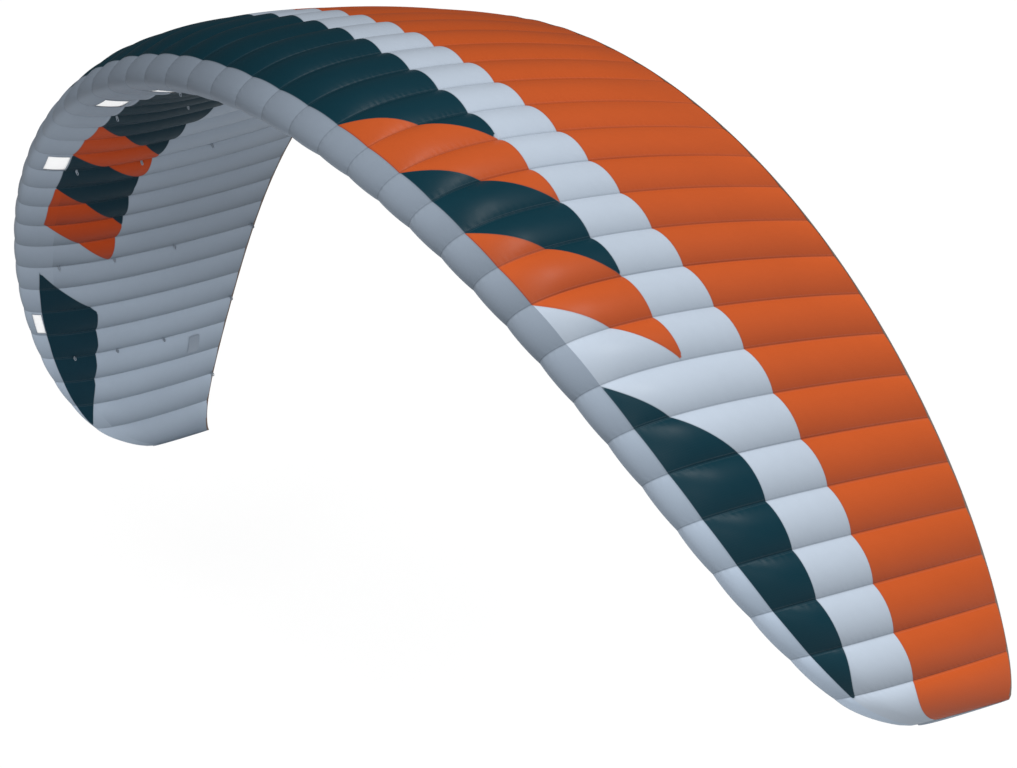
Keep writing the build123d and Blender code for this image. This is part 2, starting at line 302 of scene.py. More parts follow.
@dataclass
class MeshDraft:
    """Points and faces gathered for one piece."""

    points: list[np.ndarray] = field(default_factory=list)
    faces: list[tuple[int, ...]] = field(default_factory=list)
    count: int = 0

    def add(self, points: np.ndarray, faces: Sequence[Sequence[int]]) -> None:
        """Adds points of shape (n, 3), and faces that count from the first of them."""
        self.faces.extend(tuple(int(i) + self.count for i in f) for f in faces)
        self.points.append(np.asarray(points, float).reshape(-1, 3))
        self.count += len(self.points[-1])

    def grid(self, points: np.ndarray, keep: np.ndarray | None = None) -> None:
        """Adds a grid of points of shape (rows, columns, 3), without the faces that keep leaves out."""
        rows, columns = points.shape[:2]
        index = np.arange(rows * columns).reshape(rows, columns)
        quads = np.stack([index[:-1, :-1], index[1:, :-1], index[1:, 1:], index[:-1, 1:]], -1)
        if keep is not None:
            quads = quads[keep]
        self.add(points.reshape(-1, 3), quads.reshape(-1, 4))

    def tube(self, path: np.ndarray, radius: float, sides: int = 8) -> None:
        """Adds a closed round rod along a path of shape (n, 3)."""
        along = np.gradient(path, axis=0)
        along /= np.linalg.norm(along, axis=1)[:, None]
        guide = np.array([0.31, 0.17, 0.93])
        across = np.cross(along, guide)
        across /= np.linalg.norm(across, axis=1)[:, None]
        other = np.cross(along, across)
        turn = np.arange(sides) * 2 * math.pi / sides
        ring = across[:, None] * np.cos(turn)[:, None] + other[:, None] * np.sin(turn)[:, None]
        points = path[:, None] + radius * ring
        last = (len(path) - 1) * sides
        faces = [
            (row + j, row + (j + 1) % sides, row + sides + (j + 1) % sides, row + sides + j)
            for row in range(0, last, sides)
            for j in range(sides)
        ]
        caps = [tuple(range(sides))[::-1], tuple(last + j for j in range(sides))]
        self.add(points, faces + caps)

    def piece(self, name: str, finish: bpy.types.Material, smooth: bool = True) -> bpy.types.Object:
        """Makes the Blender object, with one material."""
        mesh = bpy.data.meshes.new(name)
        mesh.from_pydata(np.concatenate(self.points).tolist(), [], self.faces)
        mesh.validate()
        mesh.materials.append(finish)
        mesh.shade_smooth() if smooth else mesh.shade_flat()
        made = bpy.data.objects.new(name, mesh)
        bpy.context.scene.collection.objects.link(made)
        return made


def map_points(made: bpy.types.Object, name: str, values: np.ndarray) -> None:
    """Writes a two-part place for each point of a mesh as a UV map."""
    layer = made.data.uv_layers.new(name=name)
    corner = np.zeros(len(made.data.loops), np.int32)
    made.data.loops.foreach_get("vertex_index", corner)
    layer.data.foreach_set("uv", values.reshape(-1, 2)[corner].astype(np.float32).ravel())


def mark_points(made: bpy.types.Object, name: str, values: np.ndarray) -> None:
    """Writes one number for each point of a mesh as an attribute."""
    attribute = made.data.attributes.new(name, "FLOAT", "POINT")
    attribute.data.foreach_set("value", values.astype(np.float32).ravel())


def points_of(mesh: bpy.types.Mesh) -> np.ndarray:
    """A mesh's points, of shape (n, 3)."""
    return np.array([v.co for v in mesh.vertices], float).reshape(-1, 3)


def flat_place(made: bpy.types.Object) -> None:
    """Maps a small or hidden piece's cloth from above, in metres."""
    co = points_of(made.data)
    map_points(made, "cloth", np.stack([co[:, 0], co[:, 1] + co[:, 2]], -1))


def settle(made: bpy.types.Object, follow: Follow, node: str) -> None:
    """Maps a piece's cloth, makes it follow its body, and puts it in its CAD node's place."""
    flat_place(made)
    follow(made)
    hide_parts(node)


def fill_outlines(
    outlines: Sequence[np.ndarray], half_thickness: float = 0.0, edge: float = 0.0
) -> tuple[np.ndarray, list[tuple[int, ...]]]:
    """Fills the first of some closed flat outlines and leaves the others open.

    Args:
        outlines: The outlines, of shape (n, 2).
        half_thickness: Half the thickness of the straight part.
        edge: Radius of the rounded edge.

    Returns:
        The points and the faces.
    """
    curve = bpy.data.curves.new("outline", "CURVE")
    curve.dimensions, curve.fill_mode = "2D", "BOTH"
    for outline in outlines:
        spline = curve.splines.new("POLY")
        spline.points.add(len(outline) - 1)
        rows = np.column_stack([outline, np.zeros(len(outline)), np.ones(len(outline))])
        spline.points.foreach_set("co", rows.ravel())
        spline.use_cyclic_u = True
    curve.extrude, curve.bevel_depth, curve.bevel_resolution = half_thickness, edge, 1
    holder = bpy.data.objects.new("outline", curve)
    mesh = bpy.data.meshes.new_from_object(holder)
    points, faces = points_of(mesh), [tuple(f.vertices) for f in mesh.polygons]
    bpy.data.objects.remove(holder)
    bpy.data.curves.remove(curve)
    bpy.data.meshes.remove(mesh)
    return points, faces


@dataclass(frozen=True)
class Zone:
    """A stretch of the wing that rides on one body, or lies between two."""

    name: str
    start: float
    end: float
    bodies: tuple[str, ...]
    stands_for: dict[Skin, tuple[str, ...]]
    group: str

    def stations(self, across: Sequence[float]) -> np.ndarray:
        """The stations of the zone's mesh, with the same steps across each cell."""
        whole = [c + a for c in np.arange(self.start, self.end - 0.5) for a in across]
        return np.array([*whole, self.end])

    def ribs(self) -> list[float]:
        """The stations of the ribs sewn inside the zone, without the wing's own ends and the joint's rib."""
        every = np.arange(self.start, self.end + 0.5)
        last = FORM.half_cells - 0.5
        keep = [float(k) for k in every if abs(k) < last and abs(k) != JOINT_RIB]
        if len(self.bodies) == 1:
            return [k for k in keep if self.bodies[0] == "centre_wing" or abs(k) > TIP_START]
        return [k for k in keep if abs(k) != CENTRE_END]

    def attach(self, piece: bpy.types.Object) -> None:
        """Makes a finished piece follow the zone's body; between two bodies, it bakes the piece's place into its
        points.
        """
        if len(self.bodies) == 1:
            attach(piece, self.bodies[0])
            return
        inner, outer = sorted((self.start, self.end), key=abs)
        along = FORM.axes(np.array([(inner + outer) / 2]))[3][0] * np.sign(outer)
        around = np.linspace(-1, 1, 41)
        reach = [FORM.surface(k, around, 0.004) @ along for k in (inner, outer)]
        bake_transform(piece)


def make_zones() -> list[Zone]:
    """The seven stretches of the wing, from the middle outwards."""

    def nodes(*sections: str) -> dict[Skin, tuple[str, ...]]:
        """The CAD skins of some sections."""
        return {skin: tuple(f"{skin.value}_{s}" for s in sections) for skin in Skin}

    middle = nodes("centre", "left_inner", "right_inner")
    zones = [Zone("centre", -CENTRE_END, CENTRE_END, ("centre_wing",), middle, "centre")]
    for side in Side:
        w = side.word
        bend, tip = f"bend_{w}", f"tip_{w}"
        for name, near, far, bodies, section, group in (
            (f"{w}_bend", CENTRE_END, JOINT_RIB, ("centre_wing", bend), f"{w}_middle", "centre"),
            (f"{w}_twist", JOINT_RIB, TIP_START, (bend, tip), f"{w}_tip", w),
            (f"{w}_end", TIP_START, FORM.half_cells, (tip,), f"{w}_outer", w),
        ):
            start, end = sorted((side.value * near, side.value * far))
            zones.append(Zone(name, start, end, bodies, nodes(section), group))
    return zones


class NodeSketch:
    """Adds nodes to one tree and wires them."""

    def __init__(self, tree: bpy.types.NodeTree) -> None:
        """Starts on a tree."""
        self.tree = tree

    def node(self, kind: str, **settings: object) -> bpy.types.Node:
        """Adds a node and sets its properties."""
        made = self.tree.nodes.new(kind)
        for name, value in settings.items():
            setattr(made, name, value)
        return made

    def feed(self, target: Socket, value: Socket | float | Colour) -> None:
        """Wires a socket to a target, or sets the target's value."""
        if isinstance(value, bpy.types.NodeSocket):
            self.tree.links.new(value, target)
        elif isinstance(value, tuple) and len(value) == 3 and target.type == "RGBA":
            target.default_value = (*value, 1.0)
        else:
            target.default_value = value

    def math(self, operation: str, *values: Socket | float, clamp: bool = False) -> Socket:
        """A Math node's result."""
        made = self.node("ShaderNodeMath", operation=operation, use_clamp=clamp)
        for target, value in zip(made.inputs, values, strict=False):
            self.feed(target, value)
        return made.outputs[0]

    def times(self, *values: Socket | float) -> Socket:
        """Two values multiplied."""
        return self.math("MULTIPLY", *values)

    def plus(self, *values: Socket | float) -> Socket:
        """Two values added."""
        return self.math("ADD", *values)

    def mix(self, factor: Socket | float, a: Socket | Colour, b: Socket | Colour) -> Socket:
        """A colour between two others."""
        made = self.node("ShaderNodeMix", data_type="RGBA")
        self.feed(made.inputs[0], factor)
        self.feed(made.inputs[6], a)
        self.feed(made.inputs[7], b)
        return made.outputs[2]

    def smooth(self, value: Socket, low: float, high: float, to_low: float = 0, to_high: float = 1) -> Socket:
        """A value eased from one range to another."""
        made = self.node("ShaderNodeMapRange", interpolation_type="SMOOTHSTEP")
        for target, v in zip(made.inputs, (value, low, high, to_low, to_high), strict=False):
            self.feed(target, v)
        return made.outputs[0]

    def split(self, vector: Socket) -> list[Socket]:
        """The parts of a vector."""
        made = self.node("ShaderNodeSeparateXYZ")
        self.feed(made.inputs[0], vector)
        return list(made.outputs)

    def group(self, tree: bpy.types.NodeTree, **values: Socket | float | Colour) -> dict[str, Socket]:
        """Adds a node group, feeds its inputs by name, and gives its outputs by name."""
        made = self.node("ShaderNodeGroup", node_tree=tree)
        for name, value in values.items():
            self.feed(made.inputs[name], value)
        return {socket.name: socket for socket in made.outputs}

    def noise(self, vector: Socket, scale: float, detail: float = 2, kind: str = "FBM") -> Socket:
        """A soft noise's value."""
        made = self.node("ShaderNodeTexNoise", noise_type=kind)
        self.feed(made.inputs["Vector"], vector)
        self.feed(made.inputs["Scale"], scale)
        self.feed(made.inputs["Detail"], detail)
        return made.outputs[0]

    def uv(self, name: str) -> Socket:
        """A mesh's UV map by name."""
        return self.node("ShaderNodeUVMap", uv_map=name).outputs[0]

    def mark(self, name: str) -> Socket:
        """A mesh attribute's value by name."""
        return self.node("ShaderNodeAttribute", attribute_name=name).outputs["Fac"]


def new_group(
    name: str, inputs: dict[str, str], outputs: dict[str, str]
) -> tuple[bpy.types.NodeTree, dict[str, Socket], dict[str, Socket]]:
    """Starts a shader node group.

    Args:
        name: The group's name.
        inputs: Each input's name and socket type.
        outputs: Each output's name and socket type.

    Returns:
        The group, its input sockets and its output sockets, by name.
    """
    group = bpy.data.node_groups.new(name, "ShaderNodeTree")
    for direction, sockets in (("INPUT", inputs), ("OUTPUT", outputs)):
        for label, kind in sockets.items():
            group.interface.new_socket(name=label, in_out=direction, socket_type=kind)
    entry, result = group.nodes.new("NodeGroupInput"), group.nodes.new("NodeGroupOutput")
    given, out = ({s.name: s for s in ends if s.name} for ends in (entry.outputs, result.inputs))
    return group, given, out


FLOAT, VECTOR, COLOUR = "NodeSocketFloat", "NodeSocketVector", "NodeSocketColor"


class Effects:
    """The shader effects that several finishes share, each a node group."""

    def __init__(self) -> None:
        """Builds the groups once."""
        self.weave = self.make_weave()
        self.stitches = self.make_stitches()
        self.wear = self.make_wear()
        self.fading = self.make_fading()
        self.panels = self.make_panels()

    @staticmethod
    def make_weave() -> bpy.types.NodeTree:
        """Ripstop cloth: a fine plain weave with a thicker thread each few millimetres both ways."""
        group, given, out = new_group(
            "ripstop_weave",
            {"Place": VECTOR, "Grid": FLOAT, "Depth": FLOAT},
            {"Height": FLOAT, "Threads": FLOAT},
        )
        ns = NodeSketch(group)
        x, y, _ = ns.split(given["Place"])
        lines = []
        for value in (x, y):
            share = ns.math("DIVIDE", value, given["Grid"])
            lines.append(ns.smooth(ns.math("PINGPONG", share, 0.5), 0.03, 0.11, 1.0, 0.0))
        ribs = ns.math("MAXIMUM", *lines)
        fine = [ns.math("SINE", ns.times(v, 2 * math.pi / 0.0009)) for v in (x, y)]
        cloth = ns.times(ns.times(*fine), 0.35)
        height = ns.times(ns.plus(ribs, cloth), given["Depth"])
        ns.feed(out["Height"], height)
        ns.feed(out["Threads"], ribs)
        return group

    @staticmethod
    def make_stitches() -> bpy.types.NodeTree:
        """Rib seams: crease (its mask also drives painted shade along the seam), two rows of lockstitch, puckers,
        and painted shade that darkens each cell towards its outboard seam, away from the middle.
        """
        group, given, out = new_group(
            "rib_seams",
            {"Ribs": VECTOR, "Place": VECTOR, "Cell": FLOAT, "Middle": FLOAT},
            {"Crease": FLOAT, "Grime": FLOAT, "Thread": FLOAT, "Height": FLOAT},
        )
        ns = NodeSketch(group)
        rib, _, _ = ns.split(given["Ribs"])
        _, along, _ = ns.split(given["Place"])
        away = ns.times(ns.math("PINGPONG", rib, 0.5), given["Cell"])
        crease = ns.smooth(away, 0.0002, 0.0040, 1.0, 0.0)
        row = ns.smooth(ns.math("ABSOLUTE", ns.math("SUBTRACT", away, 0.0042)), 0.0003, 0.0009, 1.0, 0.0)
        dash = ns.smooth(ns.math("PINGPONG", ns.math("DIVIDE", along, 0.0042), 0.5), 0.12, 0.2)
        thread = ns.times(row, dash)
        drift = ns.times(ns.noise(given["Place"], 23.0), 9.0)
        wave = ns.math("SINE", ns.plus(ns.times(along, 2 * math.pi / 0.021), drift))
        near = ns.smooth(away, 0.0, 0.026, 1.0, 0.0)
        pucker = ns.times(ns.times(wave, near), 0.0003)
        height = ns.math("SUBTRACT", pucker, ns.times(crease, 0.0005))
        ns.feed(out["Crease"], crease)
        # Painted shade: from the fourth cell outwards, each cell darkens from its inboard seam to its outboard
        # seam, standing in for how the light falls across the billowed cells.
        out_from_middle = ns.math("ABSOLUTE", ns.math("SUBTRACT", rib, given["Middle"]))
        low_end = ns.math("FRACT", ns.plus(out_from_middle, 0.5))
        steep = ns.smooth(out_from_middle, 4.0, 13.0)
        ns.feed(out["Grime"], ns.times(ns.math("POWER", low_end, 1.15), steep))
        ns.feed(out["Thread"], thread)
        ns.feed(out["Height"], ns.plus(height, ns.times(thread, 0.0002)))
        return group

    @staticmethod
    def make_fading() -> bpy.types.NodeTree:
        """Painted shade and light along the span: the cloth's brightness is scaled by one factor towards the
        middle and by another at the tips (darker below 1, lighter above 1), standing in for how the light falls
        round the arch.
        """
        group, given, out = new_group(
            "fading_along_span",
            {"Ribs": VECTOR, "Middle": FLOAT, "Centre tone": FLOAT, "Tip tone": FLOAT},
            {"Tone": FLOAT},
        )
        ns = NodeSketch(group)
        rib, _, _ = ns.split(given["Ribs"])
        far = ns.math("ABSOLUTE", ns.math("SUBTRACT", rib, given["Middle"]))
        inner = ns.smooth(far, 1.0, 10.0, given["Centre tone"], 1.0)
        ns.feed(out["Tone"], ns.times(inner, ns.smooth(far, 12.0, 21.0, 1.0, given["Tip tone"])))
        return group

    @staticmethod
    def make_wear() -> bpy.types.NodeTree:
        """Slow changes of tone from sun, folding and handling."""
        group, given, out = new_group(
            "sun_and_folds",
            {"Place": VECTOR, "Amount": FLOAT},
            {"Tone": FLOAT, "Rough": FLOAT, "Height": FLOAT},
        )
        ns = NodeSketch(group)
        broad = ns.noise(given["Place"], 3.1, 3.0)
        close = ns.noise(given["Place"], 34.0, 4.0)
        both = ns.plus(ns.times(broad, 0.7), ns.times(close, 0.3))
        tone = ns.times(ns.math("SUBTRACT", both, 0.5), given["Amount"])
        ns.feed(out["Tone"], ns.plus(tone, 1.0))
        ns.feed(out["Rough"], ns.times(ns.math("SUBTRACT", close, 0.5), 0.16))
        folds = ns.noise(given["Place"], 7.0, kind="RIDGED_MULTIFRACTAL")
        ns.feed(out["Height"], ns.times(folds, 0.0005))
        return group

    @staticmethod
    def make_panels() -> bpy.types.NodeTree:
        """Dyed panels: the dark, orange and ground colours, and the joins between them."""
        group, given, out = new_group(
            "dyed_panels",
            {"Ground": COLOUR, "Dark": COLOUR, "Orange": COLOUR},
            {"Color": COLOUR, "Join": FLOAT},
        )
        ns = NodeSketch(group)
        dark, orange = ns.mark("dark_panel"), ns.mark("orange_panel")
        first = ns.mix(ns.smooth(orange, -0.022, 0.0), given["Ground"], given["Orange"])
        ns.feed(out["Color"], ns.mix(ns.smooth(dark, -0.012, 0.012), first, given["Dark"]))
        near = ns.math("MINIMUM", ns.math("ABSOLUTE", dark), ns.math("ABSOLUTE", orange))
        ns.feed(out["Join"], ns.smooth(near, 0.012, 0.05, 1.0, 0.0))
        return group


@dataclass(frozen=True)
class Finish:
    """How one kind of piece is coloured and how it shines."""

    name: str
    colour: Colour
    roughness: float = 0.5
    grid: float = 0.006
    depth: float = 0.00004
    tone: float = 0.16
    sheen: float = 0.0
    # How strongly painted shade darkens each cell towards its outboard seam.
    grime: float = 0.44
    # Painted shade and light along the span: brightness factors for the middle cells and for the tips.
    centre_tone: float = 0.66
    tip_tone: float = 0.90
    gloss: float = 0.06
    panelled: bool = False
    seamed: bool = False
    dark: Colour = (0.0035, 0.028, 0.042)
    orange: Colour = (0.460, 0.080, 0.017)
    thread: Colour = (0.36, 0.38, 0.41)
    # Colour of the painted shade in the seam creases.
    crease: Colour = (0.02, 0.03, 0.04)
    # Colour of the painted shade across each cell.
    soil: Colour = (0.003, 0.011, 0.017)
    glint: Colour = (0.9, 0.92, 0.95)

    def make(self, effects: Effects) -> bpy.types.Material:
        """Builds the material.

        Args:
            effects: The shared effects.

        Returns:
            The material.
        """
        made = bpy.data.materials.new(self.name)
        made.use_nodes = True
        ns = NodeSketch(made.node_tree)
        shader = made.node_tree.nodes["Principled BSDF"]
        place = ns.uv("cloth")
        weave = ns.group(effects.weave, Place=place, Grid=self.grid, Depth=self.depth)
        wear = ns.group(effects.wear, Place=place, Amount=self.tone)
        height, tone = ns.plus(weave["Height"], wear["Height"]), wear["Tone"]
        colour = self.colour
        if self.panelled:
            panels = ns.group(effects.panels, Ground=self.colour, Dark=self.dark, Orange=self.orange)
            colour = ns.mix(ns.times(panels["Join"], 0.10), panels["Color"], self.dark)
            height = ns.plus(height, ns.times(panels["Join"], 0.0003))
        if self.seamed:
            ribs, middle = ns.uv("ribs"), FORM.half_cells
            seams = ns.group(effects.stitches, Ribs=ribs, Place=place, Cell=FORM.cell, Middle=middle)
            # Painted shade along the seam creases.
            colour = ns.mix(ns.times(seams["Crease"], 0.20), colour, self.crease)
            # Painted shade across each cell, darkest at its outboard seam.
            colour = ns.mix(ns.times(seams["Grime"], self.grime), colour, self.soil)
            colour = ns.mix(ns.times(seams["Thread"], 0.07), colour, self.thread)
            height = ns.plus(height, seams["Height"])
            # Painted shade and light along the span, multiplied into the cloth's tone.
            tones = {"Centre tone": self.centre_tone, "Tip tone": self.tip_tone}
            tone = ns.times(tone, ns.group(effects.fading, Ribs=ribs, Middle=middle, **tones)["Tone"])
        toned = ns.node("ShaderNodeHueSaturation")
        ns.feed(toned.inputs["Color"], colour)
        ns.feed(toned.inputs["Value"], tone)
        lined = ns.mix(ns.times(weave["Threads"], 0.003), toned.outputs[0], self.glint)
        ns.feed(shader.inputs["Base Color"], lined)
        ns.feed(shader.inputs["Roughness"], ns.math("ADD", wear["Rough"], self.roughness, clamp=True))
        bump = ns.node("ShaderNodeBump")
        bump.inputs["Distance"].default_value = 1.0
        bump.inputs["Strength"].default_value = 0.7
        ns.feed(bump.inputs["Height"], height)
        ns.feed(shader.inputs["Normal"], bump.outputs[0])
        shader.inputs["Sheen Weight"].default_value = self.sheen
        shader.inputs["Specular IOR Level"].default_value = self.gloss
        return made


class Finishes:
    """Every finish of the kite, made once."""

    def __init__(self) -> None:
        """Builds the shared effects and the materials."""
        effects = Effects()
        pale: Colour = (0.415, 0.475, 0.555)
        # Painted shade: the next three colours are darker copies of the top's pale, dark and orange cloth, used
        # for the under skin, the nose band and the drain flaps.
        shaded: Colour = (0.225, 0.268, 0.325)
        shaded_dark: Colour = (0.0030, 0.017, 0.027)
        shaded_orange: Colour = (0.330, 0.042, 0.007)
        black: Colour = (0.014, 0.015, 0.018)
        top = Finish("coated_top_cloth", pale, 0.42, panelled=True, seamed=True)
        under = replace(
            top, name="coated_under_cloth", colour=shaded, roughness=0.48, gloss=0.03, grime=0.56,
            dark=shaded_dark, orange=shaded_orange, centre_tone=0.84, tip_tone=1.68,
        )
        nose = replace(
            under, name="heavy_nose_cloth", roughness=0.46, grid=0.009, grime=0.40,
            centre_tone=0.66, tip_tone=1.62,
        )
        self.top, self.under, self.nose = (finish.make(effects) for finish in (top, under, nose))
        self.inner = Finish("coated_rib_cloth", (0.78, 0.80, 0.82), 0.55, sheen=0.05).make(effects)
        self.valve = Finish("white_valve_cloth", (0.96, 0.965, 0.97), 0.55, tone=0.04).make(effects)
        self.hem = Finish("folded_hem_tape", (0.140, 0.105, 0.090), 0.6, 0.0022, 0.0002).make(effects)
        self.rim = Finish("mouth_rim_tape", (0.22, 0.26, 0.31), 0.6, 0.0022, 0.0002).make(effects)
        self.web = Finish("woven_webbing", (0.20, 0.24, 0.29), 0.7, 0.0016, 0.0003, sheen=0.2).make(effects)
        self.zip = Finish("woven_zip_tape", (0.30, 0.34, 0.40), 0.7, 0.0016, 0.0003).make(effects)
        self.flap = Finish("plain_under_cloth", shaded, 0.46, tone=0.10).make(effects)
        self.rod = Finish("drawn_nylon", (0.80, 0.80, 0.76), 0.3, 0.02, 0.00002, tone=0.05).make(effects)
        self.moulded = Finish("moulded_plastic", black, 0.34, 0.02, 0.00003, tone=0.1).make(effects)


@dataclass
class SewnSkins:
    """The outside of the wing: an upper sheet, a nose band and a lower sheet for each stretch."""

    finishes: Finishes
    nose_top: float = 0.048
    nose_bottom: float = 0.118
    tail: float = 0.992
    chord_steps: int = 64
    across: tuple[float, ...] = (0, 0.022, 0.1, 0.18, 0.28, 0.39, 0.5, 0.61, 0.72, 0.82, 0.9, 0.978)
    rim_beside: float = 0.028
    rim_along: float = 0.006
    rim_lift: float = 0.0009

    def places(self, skin: Skin) -> np.ndarray:
        """The places round the profile that a skin's mesh has, from underneath to the top."""
        top, bottom, tail = math.sqrt(self.nose_top), -math.sqrt(self.nose_bottom), math.sqrt(self.tail)
        if skin is Skin.UPPER:
            return np.linspace(top, tail, self.chord_steps)
        if skin is Skin.LOWER:
            return np.linspace(-tail, bottom, self.chord_steps)
        edges = sorted({-math.sqrt(u) for mouth in MOUTHS.values() for u in mouth})
        stops = [bottom, *edges, -0.012, 0.012, top]
        parts = [np.linspace(a, b, 2 + int((b - a) / 0.02)) for a, b in zip(stops, stops[1:], strict=False)]
        return np.unique(np.concatenate(parts).round(9))

    def mouths(self, k: np.ndarray, s: np.ndarray) -> np.ndarray:
        """Which faces of a grid are left in, with the intake mouths cut out."""
        mid_k, mid_s = ((v[:-1, :-1] + v[1:, 1:]) / 2 for v in (k, s))
        inside = np.zeros(mid_k.shape, bool)
        for cell, (front, rear) in MOUTHS.items():
            across = (mid_s < -math.sqrt(front)) & (mid_s > -math.sqrt(rear))
            inside |= across & (np.abs(np.abs(mid_k) - cell) < MOUTH_HALF)
        return ~inside

    def sheet(self, zone: Zone, skin: Skin) -> bpy.types.Object:
        """One sheet of the skin, with its panels and its cloth mapped."""
        k, s = np.meshgrid(zone.stations(self.across), self.places(skin), indexing="ij")
        points = FORM.surface(k, s)
        draft = MeshDraft()
        draft.grid(points, self.mouths(k, s) if skin is Skin.NOSE else None)
        f = self.finishes
        finish = {Skin.UPPER: f.top, Skin.LOWER: f.under, Skin.NOSE: f.nose}[skin]
        made = draft.piece(f"{skin.value}_{zone.name}_cloth", finish)
        steps = np.linalg.norm(np.diff(points, axis=1), axis=2)
        girth = np.concatenate([np.zeros((len(k), 1)), np.cumsum(steps, axis=1)], axis=1)
        map_points(made, "cloth", np.stack([k * FORM.cell, girth - girth.mean()], -1))
        map_points(made, "ribs", np.stack([k + FORM.half_cells, s], -1))
        dark, orange = PLAN.fields(k, s)
        mark_points(made, "dark_panel", dark)
        mark_points(made, "orange_panel", orange)
        zone.attach(made)
        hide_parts(*zone.stands_for[skin])
        return made

    def rims(self, zone: Zone) -> bpy.types.Object | None:
        """The tape bound round the intake mouths of a stretch."""
        draft = MeshDraft()
        for cell, mouth in ((c * side.value, m) for side in Side for c, m in MOUTHS.items()):
            if not zone.start < cell < zone.end:
                continue
            front, rear = (-math.sqrt(u) for u in mouth)
            outer = MOUTH_HALF + self.rim_beside
            steps = [-outer, *np.linspace(-MOUTH_HALF, MOUTH_HALF, 9), outer]
            places = [rear - self.rim_along, *np.linspace(rear, front, 7), front + self.rim_along]
            k, s = np.meshgrid(cell + np.array(steps), places, indexing="ij")
            keep = np.ones((k.shape[0] - 1, k.shape[1] - 1), bool)
            keep[1:-1, 1:-1] = False
            draft.grid(FORM.surface(k, s, self.rim_lift), keep)
        if not draft.points:
            return None
        made = draft.piece(f"mouth_rims_{zone.name}", self.finishes.rim)
        flat_place(made)
        zone.attach(made)
        return made

    def build(self, zones: Sequence[Zone]) -> None:
        """Builds every sheet and rim."""
        for zone in zones:
            made = [self.sheet(zone, skin).name for skin in Skin]
            rim = self.rims(zone)
            log.info("skins of %s: %s, rims %s", zone.name, made, rim.name if rim else "none")


@dataclass
class IntakeFlaps:
    """The white cloth flaps that close the intake mouths from inside."""

    finishes: Finishes
    reach: float = 0.43
    overlap: float = 0.004
    inset: float = 0.0018
    slack: float = 0.0012

    def flap(self, side: Side, number: int, cell: int, mouth: tuple[float, float]) -> bpy.types.Object:
        """One flap, pressed against the inside of its mouth and hinged on the mouth's front edge."""
        front, rear = mouth[0] - self.overlap / 2, mouth[1] + self.overlap
        steps = np.linspace(-self.reach, self.reach, 17)
        k, across = np.meshgrid(steps, np.linspace(0, 1, 11), indexing="ij")
        station = side.value * cell + k
        place = -np.sqrt(front + (rear - front) * across)
        ripple = self.slack * np.sin(9 * k + 4 * across) * across * (1 - across)
        points = FORM.surface(station, place) + FORM.axes(station)[2] * (self.inset + ripple)[..., None]
        draft = MeshDraft()
        draft.grid(points[:, ::-1])
        node = f"intake_flap_{side.word}_{number}"
        made = draft.piece(f"{node}_cloth", self.finishes.valve)
        settle(made, lambda piece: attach(piece, f"flap_{side.word}_{number}"), node)
        return made

    def build(self) -> None:
        """Builds the eight flaps."""
        for side in Side:
            for number, (cell, mouth) in enumerate(MOUTHS.items(), 1):
                log.info("flap %s", self.flap(side, number, cell, mouth).name)


